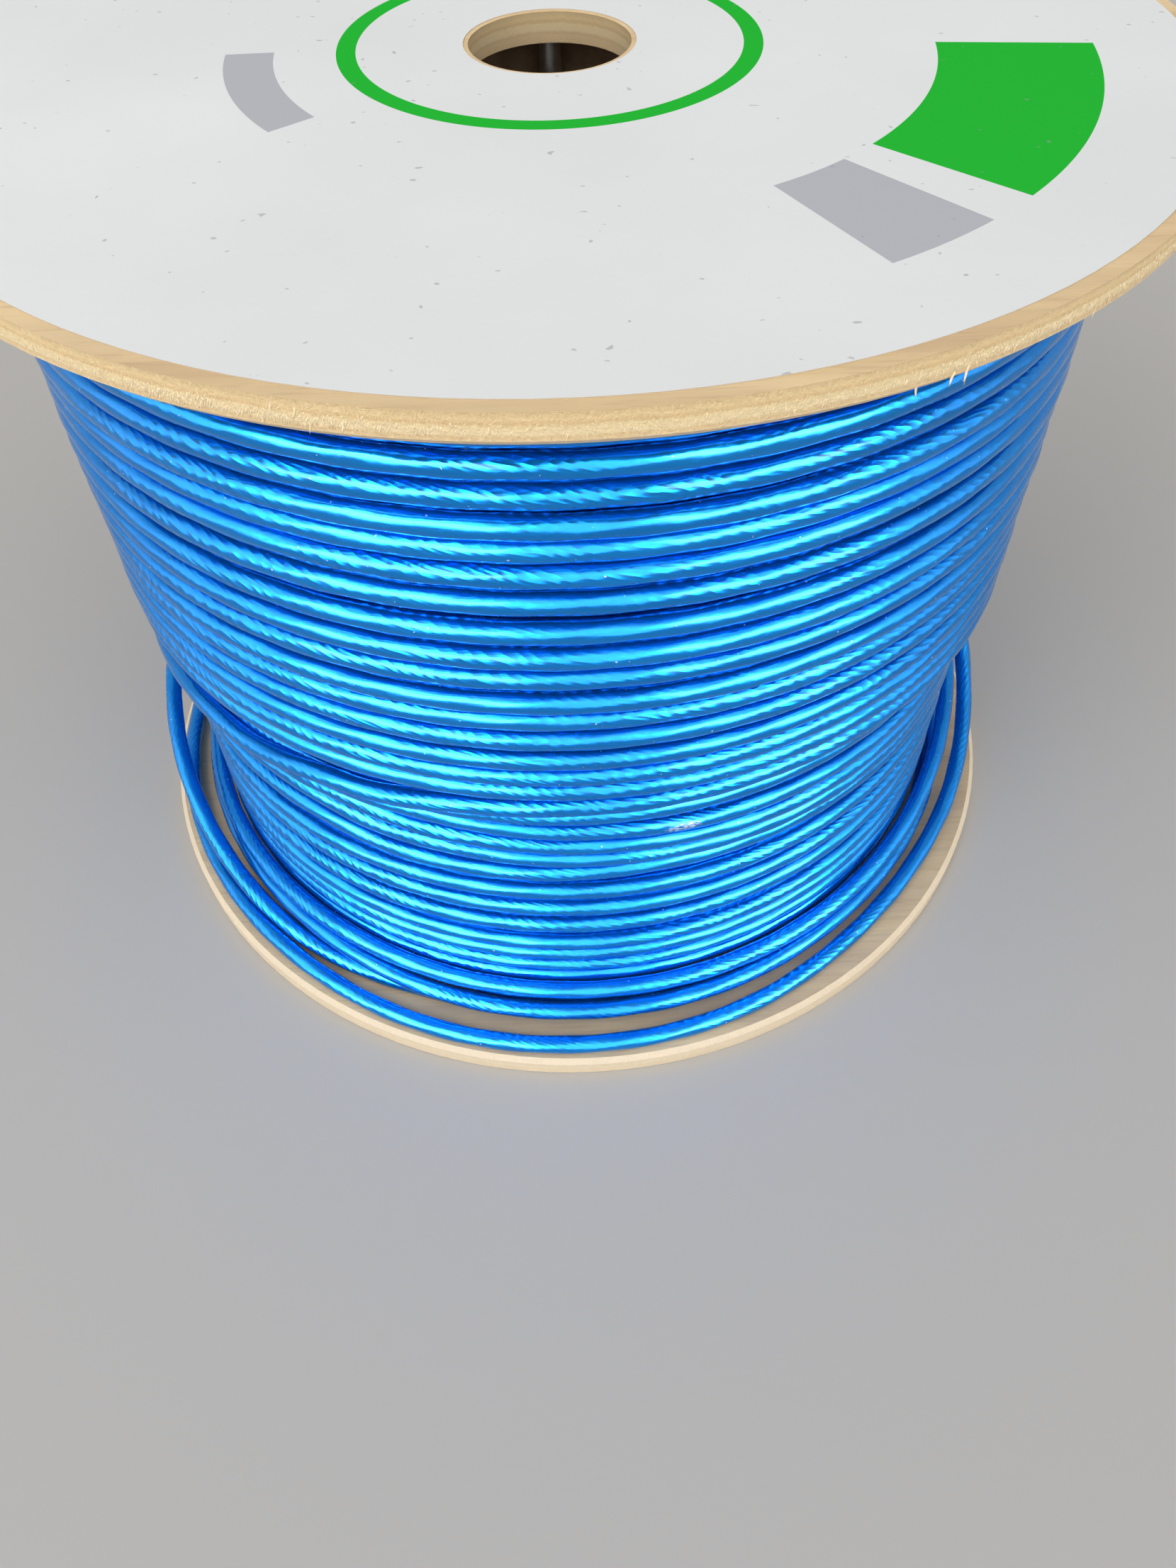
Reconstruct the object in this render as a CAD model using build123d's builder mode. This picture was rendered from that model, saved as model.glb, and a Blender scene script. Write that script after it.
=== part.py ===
from build123d import *

import math
import os

# A one-way cable drum standing on its end: two plywood flanges, a cardboard barrel between
# them, tie bolts inside the barrel, and data cable wound on it. Millimetres, +Z up along the
# drum's axis, origin on the floor at the middle of the bottom flange, -Y towards the viewer.

# Flanges
flange_diameter = 400
flange_thickness = 9
spindle_bore_diameter = 51
# Bevel on the edge that the cable runs over
inner_edge_bevel = 2
# Clear width between the two flanges
inner_width = 292

# Printed paper disc glued on the top flange, over the bolt heads
label_margin = 4.3
label_thickness = 0.3
label_hole_clearance = 1.5

# Cardboard barrel
barrel_outer_diameter = 130
barrel_wall = 6
winding_clearance = 0.2

# Tie bolts inside the barrel, with flat round heads and flat hexagon nuts let into the flanges
bolt_count = 3
bolt_circle_diameter = 94
bolt_diameter = 8
bolt_hole_clearance = 0.3
head_diameter = 24
head_thickness = 2
nut_width = 20
recess_clearance = 0.3
thread_clearance = 0.1
first_bolt_angle = 90

# Cable, wound in nested layers. The last layer is partly paid out: it still covers the upper
# part of the drum, and below it the layer under it shows.
cable_diameter = 7.5
cable_section_sides = 4
full_layer_diameter = 343.2
layer_step = 7
last_layer_bottom = 131
# Turns of the full layer that stand apart, with the layer below showing between them: height
# of each one's middle over the bottom flange
spread_turns = [42.8, 56.0, 67.1, 78.8, 90.3]

# Loose cable: it leaves the last layer behind the drum and falls in loops round the winding.
# Its corners are 30 degrees apart, clockwise from above. The first number is how far the
# cable's middle stands out from the full layer, the second its height over the bottom flange.
# An arc at a corner takes up this share of the shorter run beside it.
arc_share = 0.45
route_step = 30
first_corner_angle = 165
cable_exit = (4.3, 126.9)
route_corners = [
    # down round the right side, and across the front on top of the other loops
    (5.0, 119.0),
    (7.6, 96.0),
    (8.6, 63.0),
    (6.6, 31.0),
    (4.5, 18.9),
    (4.4, 16.6),
    (4.4, 17.4),
    (4.4, 20.6),
    (4.4, 18.8),
    # the second loop, stacked on the third
    (4.6, 18.2),
    (4.8, 17.6),
    (4.8, 17.0),
    (4.8, 16.2),
    (5.0, 15.2),
    (5.4, 14.0),
    (5.8, 12.6),
    (6.6, 11.9),
    (10.0, 10.0),
    (10.6, 10.8),
    (6.4, 13.2),
    (6.2, 11.0),
    # the third loop, under the second in front, then out and up at the left
    (6.4, 10.4),
    (6.4, 9.8),
    (6.2, 9.2),
    (5.8, 8.4),
    (5.0, 7.0),
    (4.5, 5.2),
    (4.4, 4.1),
    (4.4, 4.1),
    (4.4, 4.1),
    (4.5, 4.1),
    (14.2, 4.1),
    (19.4, 33.0),
    # round the back well clear of the flange
    (20.4, 60.0),
    (20.6, 65.0),
    (20.6, 68.0),
    (20.6, 68.0),
    (20.6, 66.0),
    (20.4, 57.0),
    (18.8, 11.0),
    # the last loop, along the flange's edge
    (13.6, 4.1),
    (21.2, 4.1),
    (22.9, 4.1),
    (20.0, 4.1),
    (20.4, 4.1),
    (20.4, 4.1),
    (20.2, 4.1),
    (19.8, 4.1),
]
cable_end = (19.4, 4.1)

# Worked-out sizes
flange_radius = flange_diameter / 2
barrel_radius = barrel_outer_diameter / 2
cable_radius = cable_diameter / 2
full_layer_radius = full_layer_diameter / 2
last_layer_radius = full_layer_radius + layer_step
winding_bottom = flange_thickness
winding_top = flange_thickness + inner_width
drum_height = winding_top + flange_thickness
recess_depth = head_thickness + recess_clearance
bolt_circle_radius = bolt_circle_diameter / 2

os.makedirs("parts", exist_ok=True)


def save(piece, name):
    """Label a finished piece and write it under its own name."""
    piece.label = name
    export_step(piece, f"parts/{name}.step")


# Bottom flange: a plywood disc with the spindle bore and the recessed bolt holes
with BuildPart() as bottom_flange:
    with BuildSketch():
        Circle(flange_radius)
        Circle(spindle_bore_diameter / 2, mode=Mode.SUBTRACT)
    extrude(amount=flange_thickness)
    with BuildSketch():
        with PolarLocations(bolt_circle_radius, bolt_count, start_angle=first_bolt_angle):
            Circle(head_diameter / 2 + recess_clearance)
    extrude(amount=recess_depth, mode=Mode.SUBTRACT)
    with BuildSketch():
        with PolarLocations(bolt_circle_radius, bolt_count, start_angle=first_bolt_angle):
            Circle(bolt_diameter / 2 + bolt_hole_clearance)
    extrude(amount=flange_thickness, mode=Mode.SUBTRACT)
    inner_face = bottom_flange.faces().sort_by(Axis.Z)[-1]
    chamfer(inner_face.outer_wire().edges(), length=inner_edge_bevel)
save(bottom_flange.part, "bottom_flange")

# Top flange: the same disc, turned over
with BuildPart() as top_flange:
    mirror(bottom_flange.part, about=Plane.XY.offset(drum_height / 2))
save(top_flange.part, "top_flange")

# Barrel: a cardboard tube held between the flanges
with BuildPart() as barrel:
    with BuildSketch(Plane.XY.offset(flange_thickness)):
        Circle(barrel_radius)
        Circle(barrel_radius - barrel_wall, mode=Mode.SUBTRACT)
    extrude(amount=inner_width)
save(barrel.part, "barrel")

# Label: a paper disc, a little smaller than the flange it is glued to
with BuildPart() as flange_label:
    with BuildSketch(Plane.XY.offset(drum_height)):
        Circle(flange_radius - label_margin)
        Circle(spindle_bore_diameter / 2 + label_hole_clearance, mode=Mode.SUBTRACT)
    extrude(amount=label_thickness)
save(flange_label.part, "flange_label")

# Winding: one turned solid, with the last layer ending part way down. Turns that lie side by
# side make a plain face, and those that stand apart are crests with a gap between each two,
# as deep as one layer.
crests = [(full_layer_radius, winding_bottom + height) for height in spread_turns]
gaps = [
    (full_layer_radius - layer_step, (below + above) / 2)
    for (_, below), (_, above) in zip(crests, crests[1:])
]
with BuildPart() as cable_winding:
    with BuildSketch(Plane.XZ):
        with BuildLine():
            bore_radius = barrel_radius + winding_clearance
            layer_end = winding_bottom + last_layer_bottom
            Polyline(
                (bore_radius, winding_bottom),
                (full_layer_radius, winding_bottom),
                *sorted(crests + gaps, key=lambda point: point[1]),
                (full_layer_radius, layer_end),
                (last_layer_radius, layer_end),
                (last_layer_radius, winding_top),
                (bore_radius, winding_top),
                close=True,
            )
        make_face()
    revolve(axis=Axis.Z)
save(cable_winding.part, "cable_winding")


def route_point(steps, station, is_corner=True):
    """A point of the loose cable's route, some steps after its first corner.

    The runs between corners cut inside them, so a corner stands out by the half step's
    cosine for the cable's middle to keep the station's distance from the winding."""
    stand_out, height = station
    angle = math.radians(first_corner_angle - steps * route_step)
    radius = full_layer_radius + stand_out
    if is_corner:
        radius /= math.cos(math.radians(route_step / 2))
    return Vector(radius * math.sin(angle), -radius * math.cos(angle), flange_thickness + height)


def bend_radius(before, corner, after):
    """The largest arc that the two runs at a corner leave room for."""
    run_in = corner - before
    run_out = after - corner
    half_turn = math.radians(run_in.get_angle(run_out)) / 2
    return arc_share * min(run_in.length, run_out.length) / math.tan(half_turn)


# Loose cable: a plain tube along straight runs and tangent arcs
route_points = [route_point(-0.5, cable_exit, is_corner=False)]
route_points += [route_point(number, corner) for number, corner in enumerate(route_corners)]
route_points += [route_point(len(route_corners) - 0.5, cable_end, is_corner=False)]
bends = [bend_radius(*corners) for corners in zip(route_points, route_points[1:], route_points[2:])]
with BuildPart() as loose_cable:
    with BuildLine() as route:
        FilletPolyline(*route_points, radius=bends)
    with BuildSketch(Plane(origin=route.line @ 0, z_dir=route.line % 0)):
        section = RegularPolygon(cable_radius, cable_section_sides)
    sweep(path=route.line)
save(loose_cable.part, "loose_cable")
cable_length = route.wires()[0].length
print(f"loose cable {cable_length:.0f} mm long, bends of {min(bends):.0f} to {max(bends):.0f} mm")
print(f"volume {loose_cable.part.volume:.0f}, section by length {section.area * cable_length:.0f}")


def tie_bolt(angle):
    """A long bolt whose flat head lies in the top flange."""
    with BuildPart() as bolt:
        with BuildSketch(Plane.XY.offset(drum_height - recess_clearance)):
            with PolarLocations(bolt_circle_radius, 1, start_angle=angle):
                Circle(head_diameter / 2)
        extrude(amount=-head_thickness)
        with BuildSketch(Plane.XY.offset(recess_clearance)):
            with PolarLocations(bolt_circle_radius, 1, start_angle=angle):
                Circle(bolt_diameter / 2)
        extrude(amount=drum_height - 2 * recess_clearance)
    return bolt.part


def tie_nut(angle):
    """A flat hexagon nut, as thick as the bolt's head, let into the bottom flange."""
    with BuildPart() as nut:
        with BuildSketch(Plane.XY.offset(recess_clearance)):
            with PolarLocations(bolt_circle_radius, 1, start_angle=angle):
                RegularPolygon(nut_width / 2, 6, major_radius=False)
                Circle(bolt_diameter / 2 + thread_clearance, mode=Mode.SUBTRACT)
        extrude(amount=head_thickness)
    return nut.part


# Tie bolts and their nuts, numbered round the bolt circle
for number in range(bolt_count):
    bolt_angle = first_bolt_angle + number * 360 / bolt_count
    save(tie_bolt(bolt_angle), f"tie_bolt_{number + 1}")
    save(tie_nut(bolt_angle), f"tie_nut_{number + 1}")
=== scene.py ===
from functools import partial
import math
import random

import bpy
import numpy as np
from mathutils import Matrix, Vector, noise


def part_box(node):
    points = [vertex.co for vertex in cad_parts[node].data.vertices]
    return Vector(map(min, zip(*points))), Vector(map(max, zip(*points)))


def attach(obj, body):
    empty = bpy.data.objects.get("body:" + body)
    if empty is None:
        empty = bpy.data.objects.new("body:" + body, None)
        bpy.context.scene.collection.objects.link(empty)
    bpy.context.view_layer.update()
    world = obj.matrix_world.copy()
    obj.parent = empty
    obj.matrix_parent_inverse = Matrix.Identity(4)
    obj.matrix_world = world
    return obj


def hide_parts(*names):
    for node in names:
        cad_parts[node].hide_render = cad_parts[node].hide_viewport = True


# The looks of a plywood cable drum wound with blue data cable. Metres, in the frame of the
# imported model: +Z up along the drum's axis, -Y towards the camera. Angles round the drum are
# in degrees from the front, positive to the camera's right.

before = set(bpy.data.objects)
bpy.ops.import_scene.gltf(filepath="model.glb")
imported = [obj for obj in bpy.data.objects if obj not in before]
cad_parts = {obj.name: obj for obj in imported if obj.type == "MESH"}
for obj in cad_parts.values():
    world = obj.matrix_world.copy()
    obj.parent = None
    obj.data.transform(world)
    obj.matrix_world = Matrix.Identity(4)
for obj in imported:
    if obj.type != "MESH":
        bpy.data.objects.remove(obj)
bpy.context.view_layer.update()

# Sizes read from the frame
flange_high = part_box("bottom_flange")[1]
top_low, top_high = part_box("top_flange")
winding_low, winding_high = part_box("cable_winding")
flange_radius = flange_high[0]
flange_thickness = flange_high[2]
drum_height = top_high[2]
# Bevel on the edge that the cable runs over
edge_bevel = 0.002

# Cable, and the layers that it is wound in. A layer's radius is that of its outside.
cable_diameter = 0.0075
cable_radius = cable_diameter / 2
full_layer_radius = 0.1716
last_layer_radius = 0.1786
under_layer_step = 0.0067
winding_bore_radius = 0.0652

# Creases in the cable's film: the distance between two, how many millimetres one runs along the
# cable for each one round it, how many creases' distance it strays, and how narrow its ridge is
crease_pitch = 0.0050
crease_slant = 2.4
crease_waver = 4.0
crease_sharpness = 1.6

# The pairs under the sheath make one turn in this length, and lift it into four low lobes
twist_length = 0.105
lobe_count = 4
lobe_height = 0.0001

# Middle of a pale scuff on the cable near the front, and one over how far it reaches each way
scuff_centre = (0.0360, -0.1678, 0.1235)
scuff_per_metre = (150, 150, 750)

# Splinters of the top rim: angle from the front, height, length, lean to the right of straight
# down, and width. Angles are in degrees, and the rest in millimetres.
rim_splinters = [
    (25.2, 303.8, 3.4, -20, 1.3),
    (26.3, 304.2, 4.4, -12, 1.2),
    (22.4, 302.8, 2.6, 4, 0.8),
    (-15.4, 304.9, 2.8, -10, 0.6),
    (-13.3, 305.0, 2.0, -14, 0.5),
    (-10.9, 305.9, 2.0, -20, 0.5),
    (-14.0, 305.4, 2.0, -8, 0.4),
    (-17.8, 308.0, 3.0, -12, 0.6),
    (-16.2, 308.0, 3.0, -14, 0.6),
    (0.2, 304.7, 2.0, -16, 0.5),
    (29.4, 305.6, 2.4, -40, 0.7),
    (30.3, 305.0, 2.6, -46, 0.8),
    (-24.0, 305.6, 2.2, -8, 0.6),
    (38.0, 304.2, 2.6, -30, 0.6),
]
# Shape of each one: how deep its root lies in the rim for its width, how far its point lifts
# off for its length, rings along it, how blunt it is, and how thick for its width
root_depth = 0.15
splinter_lift = 0.2
splinter_rings = 3
splinter_bluntness = 0.6
splinter_flatness = 0.5

# Number of torn fibres on each rim, besides those, their seed, and where the saw tore the top
# rim most: angle of the place's middle, and its spread
top_fibre_count = 1500
bottom_fibre_count = 500
fibre_seed = 11
torn_places = [(-20, 7), (36, 9)]
# Middle and spread of a fibre's place in the edge, from the inner face as a share of the
# flange's thickness, and its limits. Then the middle and spread of its lean in degrees, and the
# limits of its length and width.
fibre_place = (0.55, 0.08)
fibre_place_limits = (0.40, 0.80)
fibre_lean = (-14, 20)
fibre_length_limits = (0.0006, 0.0019)
fibre_width_limits = (0.00018, 0.00045)

# The cable's cut end has four wrapped pairs of cores: radii, how far each kind stands out of
# the cut and reaches back into it, and how far a pair's middle lies from the cable's middle and
# a core's from its pair's
pair_count = 4
pair_radius = 0.00125
pair_stands_out = 0.0012
core_radius = 0.00028
core_stands_out = 0.0019
reach_back = 0.001
pair_offset = 0.0019
core_offset = 0.00055
rod_sides = 12

# Heights here are those of the cable's middle over the floor. Where it shows in the photo, they
# come from there.
# Height of each turn of the last layer where it passes the front, from the top down
last_layer_turns = [
    0.2967, 0.2882, 0.2792, 0.2702, 0.2608, 0.2532, 0.2456, 0.2353, 0.2244, 0.2154,
    0.2066, 0.1968, 0.1893, 0.1806, 0.1710, 0.1632, 0.1555,
]
# The last layer's last turn sinks over the layer below it: turns from where it passes the
# front, and height
crossing_turn = [
    (-0.38, 0.1482), (-0.25, 0.1480), (-0.08, 0.1484), (0.0, 0.1472), (0.025, 0.1460),
    (0.075, 0.1405), (0.125, 0.1335), (0.20, 0.1290), (0.26, 0.1292), (0.435, 0.1419),
    (0.50, 0.1359),
]
# Height of each turn of the full layer below that, from the bottom up
full_layer_turns = [
    0.0269, 0.0345, 0.0432, 0.0518, 0.0650, 0.0761, 0.0878, 0.0993,
]
# Above those, the full layer's turns cross in front: turns from the lowest, and height. The
# last layer hides the upper ones.
full_layer_crossings = [
    (6.90, 0.1012), (6.97, 0.1010), (7.02, 0.0993), (7.06, 0.0998), (7.10, 0.1030),
    (7.40, 0.1048), (7.92, 0.1060), (8.00, 0.1085), (8.06, 0.1112), (8.11, 0.1158),
    (8.40, 0.1145), (8.92, 0.1130), (9.00, 0.1160), (9.04, 0.1180), (9.09, 0.1220),
    (9.50, 0.1222), (9.89, 0.1213), (9.95, 0.1224), (10.0, 0.1247), (10.06, 0.1284),
    (10.3, 0.1300), (10.7, 0.1316), (11.0, 0.1335), (11.2, 0.1371), (11.5, 0.1383),
    (12.0, 0.1412), (12.2, 0.1446), (12.5, 0.1458), (12.95, 0.1492), (13.02, 0.1493),
]
# Those of its turns that cross in front and show below the last layer
shown_crossing_turns = (8, 9, 10, 11)
# Height of the lowest turns under the full layer, which show below its first turn
lowest_hidden_turns = [0.0135, 0.0215]

# Loose cable: corners of its route, 30 degrees apart and clockwise from above. The first
# number is how far the cable's middle stands out from the full layer, the second its height
# over the bottom flange, both in millimetres.
millimetre = 0.001
route_step = 30
first_corner_angle = 165
cable_exit = (4.3, 126.9)
route_corners = [
    # down round the right side, and across the front on top of the other loops
    (5.0, 119.0),
    (7.6, 96.0),
    (8.6, 63.0),
    (6.6, 31.0),
    (4.5, 18.9),
    (4.4, 16.6),
    (4.4, 17.4),
    (4.4, 20.6),
    (4.4, 18.8),
    # the second loop, stacked on the third
    (4.6, 18.2),
    (4.8, 17.6),
    (4.8, 17.0),
    (4.8, 16.2),
    (5.0, 15.2),
    (5.4, 14.0),
    (5.8, 12.6),
    (6.6, 11.9),
    (10.0, 10.0),
    (10.6, 10.8),
    (6.4, 13.2),
    (6.2, 11.0),
    # the third loop, under the second in front, then out and up at the left
    (6.4, 10.4),
    (6.4, 9.8),
    (6.2, 9.2),
    (5.8, 8.4),
    (5.0, 7.0),
    (4.5, 5.2),
    (4.4, 4.1),
    (4.4, 4.1),
    (4.4, 4.1),
    (4.5, 4.1),
    (14.2, 4.1),
    (19.4, 33.0),
    # round the back well clear of the flange
    (20.4, 60.0),
    (20.6, 65.0),
    (20.6, 68.0),
    (20.6, 68.0),
    (20.6, 66.0),
    (20.4, 57.0),
    (18.8, 11.0),
    # the last loop, along the flange's edge
    (13.6, 4.1),
    (21.2, 4.1),
    (22.9, 4.1),
    (20.0, 4.1),
    (20.4, 4.1),
    (20.4, 4.1),
    (20.2, 4.1),
    (19.8, 4.1),
]
cable_end = (19.4, 4.1)
# Points of its smooth line on each run of the route
line_resolution = 40
# Points of that line that lie nearer than this are one
same_point = 1e-7


def link_object(name, data):
    """An object of that data, in the scene."""
    made = bpy.data.objects.new(name, data)
    bpy.context.scene.collection.objects.link(made)
    return made


def mesh_object(name, points, faces, uvs=None):
    """A smooth mesh piece. uvs gives one pair for each corner of each face."""
    mesh = bpy.data.meshes.new(name)
    mesh.from_pydata([tuple(p) for p in points], [], faces)
    mesh.polygons.foreach_set("use_smooth", [True] * len(mesh.polygons))
    if uvs is not None:
        layer = mesh.uv_layers.new(name="along_cable")
        layer.data.foreach_set("uv", np.asarray(uvs, dtype=np.float32).ravel())
    mesh.validate()
    mesh.update()
    return link_object(name, mesh)


# Node helpers
def node(tree, kind, inputs=None, **settings):
    """A node of that kind. inputs gives each socket a value, or an output to link to it."""
    made = tree.nodes.new("ShaderNode" + kind)
    for key, value in settings.items():
        setattr(made, key, value)
    for key, value in (inputs or {}).items():
        if isinstance(value, bpy.types.NodeSocket):
            tree.links.new(value, made.inputs[key])
        else:
            made.inputs[key].default_value = value
    return made


def maths(tree, operation, *values):
    """The output of a Math node."""
    return node(tree, "Math", dict(enumerate(values)), operation=operation).outputs[0]


def scaled(tree, value, factor):
    """A value times a factor."""
    return maths(tree, "MULTIPLY", value, factor)


def total(tree, *values):
    """The sum of several values."""
    result = values[-1]
    for value in reversed(values[:-1]):
        result = maths(tree, "ADD", value, result)
    return result


def vector_maths(tree, operation, *values):
    """A Vector Math node."""
    return node(tree, "VectorMath", dict(enumerate(values)), operation=operation)


def float_mix(tree, factor, first, second):
    """The result of mixing two numbers."""
    made = node(tree, "Mix", {0: factor, 2: first, 3: second}, data_type="FLOAT")
    return made.outputs[0]


def ramp(tree, value, stops):
    """The colour output of a Color Ramp with those (place, colour) stops."""
    made = node(tree, "ValToRGB", {"Fac": value})
    elements = made.color_ramp.elements
    while len(elements) < len(stops):
        elements.new(1.0)
    for element, (place, colour) in zip(elements, stops):
        element.position = place
        element.color = (*colour, 1.0)
    return made.outputs["Color"]


def mix(tree, factor, first, second):
    """The result of mixing two colours."""
    made = node(tree, "Mix", data_type="RGBA")
    for key, value in ((0, factor), (6, first), (7, second)):
        if isinstance(value, bpy.types.NodeSocket):
            tree.links.new(value, made.inputs[key])
        elif key == 0:
            made.inputs[key].default_value = value
        else:
            made.inputs[key].default_value = (*value, 1.0)
    return made.outputs[2]


def noise_value(tree, vector, scale, detail=3.0, roughness=0.5):
    """The value of a Noise Texture, from 0 to 1 and mostly near the middle."""
    made = node(
        tree, "TexNoise",
        {"Vector": vector, "Scale": scale, "Detail": detail, "Roughness": roughness},
    )
    return made.outputs["Fac"]


def stretched_noise(tree, place, features, detail, roughness=0.5):
    """Noise with that many features a metre along X, Y and Z."""
    stretched = node(tree, "Mapping", {"Vector": place, "Scale": features})
    return noise_value(tree, stretched.outputs["Vector"], 1.0, detail, roughness)


def spread(tree, value, low, high, to_low=0.0, to_high=1.0):
    """A value mapped from low..high to to_low..to_high, and held there."""
    made = node(
        tree, "MapRange",
        {"Value": value, "From Min": low, "From Max": high, "To Min": to_low, "To Max": to_high},
    )
    return made.outputs["Result"]


def new_material(name):
    """A new material, its node tree and its surface shader."""
    material = bpy.data.materials.new(name)
    material.use_nodes = True
    tree = material.node_tree
    return material, tree, tree.nodes["Principled BSDF"]


def bump(tree, shader, height, strength, distance):
    """Gives the shader that height as relief, of up to the distance in metres."""
    made = node(
        tree, "Bump", {"Height": height, "Strength": strength, "Distance": distance}
    )
    tree.links.new(made.outputs["Normal"], shader.inputs["Normal"])


def cable_sheath_material():
    """Glossy blue film over foil-wrapped twisted pairs: deep blue metal with slanted wrinkles."""
    material, tree, shader = new_material("blue_cable_sheath")
    uv = node(tree, "UVMap", uv_map="along_cable").outputs["UV"]
    along_round = node(tree, "SeparateXYZ", {"Vector": uv})
    along, around = along_round.outputs["X"], along_round.outputs["Y"]

    def cable_noise(per_metre_along, per_metre_around, detail=2.0, roughness=0.5, turned=0.0):
        """Noise with that many features a metre along the cable and round it."""
        place = node(tree, "Mapping", {
            "Vector": uv, "Rotation": (0, 0, math.radians(turned)),
            "Scale": (per_metre_along, per_metre_around, 1),
        }).outputs["Vector"]
        return noise_value(tree, place, 1.0, detail, roughness)

    # Slanted creases where the film is drawn over the twist of the pairs under it
    slanted = maths(tree, "ADD", along, scaled(tree, around, crease_slant))
    waver = cable_noise(35, 130)
    phase = total(
        tree, scaled(tree, slanted, 1 / crease_pitch), scaled(tree, waver, crease_waver)
    )
    ridge = scaled(tree, maths(tree, "PINGPONG", phase, 0.5), 2.0)
    ridge = maths(tree, "POWER", ridge, crease_sharpness)
    patchy = spread(tree, cable_noise(16, 60), 0.42, 0.62, 0.05, 1.0)
    creases = maths(tree, "MULTIPLY", ridge, patchy)
    crumple = cable_noise(260, 620, turned=-25)
    dents = cable_noise(75, 190)
    lines = cable_noise(20, 1700)
    height = total(
        tree, scaled(tree, creases, 0.30), scaled(tree, crumple, 0.20),
        scaled(tree, dents, 0.8), scaled(tree, lines, 0.05),
    )
    bump(tree, shader, height, 0.8, 0.0004)
    colour = ramp(tree, cable_noise(12, 60, 3.0), [
        (0.25, (0.003, 0.205, 0.620)),
        (0.55, (0.004, 0.240, 0.710)),
        (0.80, (0.008, 0.280, 0.770)),
    ])
    # A scuff near the front, and specks of dust
    place = node(tree, "NewGeometry").outputs["Position"]
    aside = vector_maths(tree, "SUBTRACT", place, scuff_centre).outputs["Vector"]
    aside = vector_maths(tree, "MULTIPLY", aside, scuff_per_metre).outputs["Vector"]
    reach = vector_maths(tree, "LENGTH", aside).outputs["Value"]
    scratch = cable_noise(500, 2600, 3.0, 0.6)
    scuff = maths(
        tree, "MULTIPLY", spread(tree, reach, 0.7, 1.1, 1.0, 0.0),
        spread(tree, scratch, 0.46, 0.56, 0.0, 0.85),
    )
    speck = spread(tree, noise_value(tree, place, 900.0, 0.0), 0.86, 0.89, 0.0, 0.7)
    worn = maths(tree, "MAXIMUM", scuff, speck)
    colour = mix(tree, worn, colour, (0.62, 0.66, 0.72))
    tree.links.new(colour, shader.inputs["Base Color"])
    tree.links.new(spread(tree, worn, 0.0, 1.0, 0.74, 0.1), shader.inputs["Metallic"])
    rough = total(tree, spread(tree, crumple, 0.3, 0.7, 0.17, 0.28), scaled(tree, worn, 0.35))
    tree.links.new(rough, shader.inputs["Roughness"])
    shader.inputs["Specular IOR Level"].default_value = 0.05
    shader.inputs["Coat Weight"].default_value = 0.33
    shader.inputs["Coat Roughness"].default_value = 0.04
    return material


def veneer_face(tree, place, at_bottom):
    """Colour and height of a flange's face veneer, with its grain along X."""
    grain = stretched_noise(tree, place, (3, 70, 1), 6.0, 0.65)
    pores = stretched_noise(tree, place, (60, 900, 1), 2.0)
    stain = noise_value(tree, place, 14.0, 4.0, 0.6)
    face = ramp(tree, grain, [
        (0.30, (0.52, 0.36, 0.20)),
        (0.50, (0.63, 0.455, 0.245)),
        (0.70, (0.71, 0.53, 0.30)),
    ])
    face = mix(tree, spread(tree, pores, 0.55, 0.75, 0.0, 0.35), face, (0.33, 0.21, 0.12))
    face = mix(tree, spread(tree, stain, 0.45, 0.75, 0.0, 0.35), face, (0.36, 0.27, 0.19))
    # The bottom flange's face is smudged and streaked
    smudge = stretched_noise(tree, place, (12, 34, 1), 5.0, 0.65)
    soiled = mix(tree, spread(tree, smudge, 0.38, 0.66, 0.0, 0.60), face, (0.40, 0.30, 0.20))
    streaks = stretched_noise(tree, place, (9, 260, 1), 5.0, 0.7)
    soiled = mix(tree, spread(tree, streaks, 0.52, 0.70, 0.0, 0.4), soiled, (0.30, 0.20, 0.13))
    return mix(tree, at_bottom, face, soiled), scaled(tree, grain, 0.15)


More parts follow.
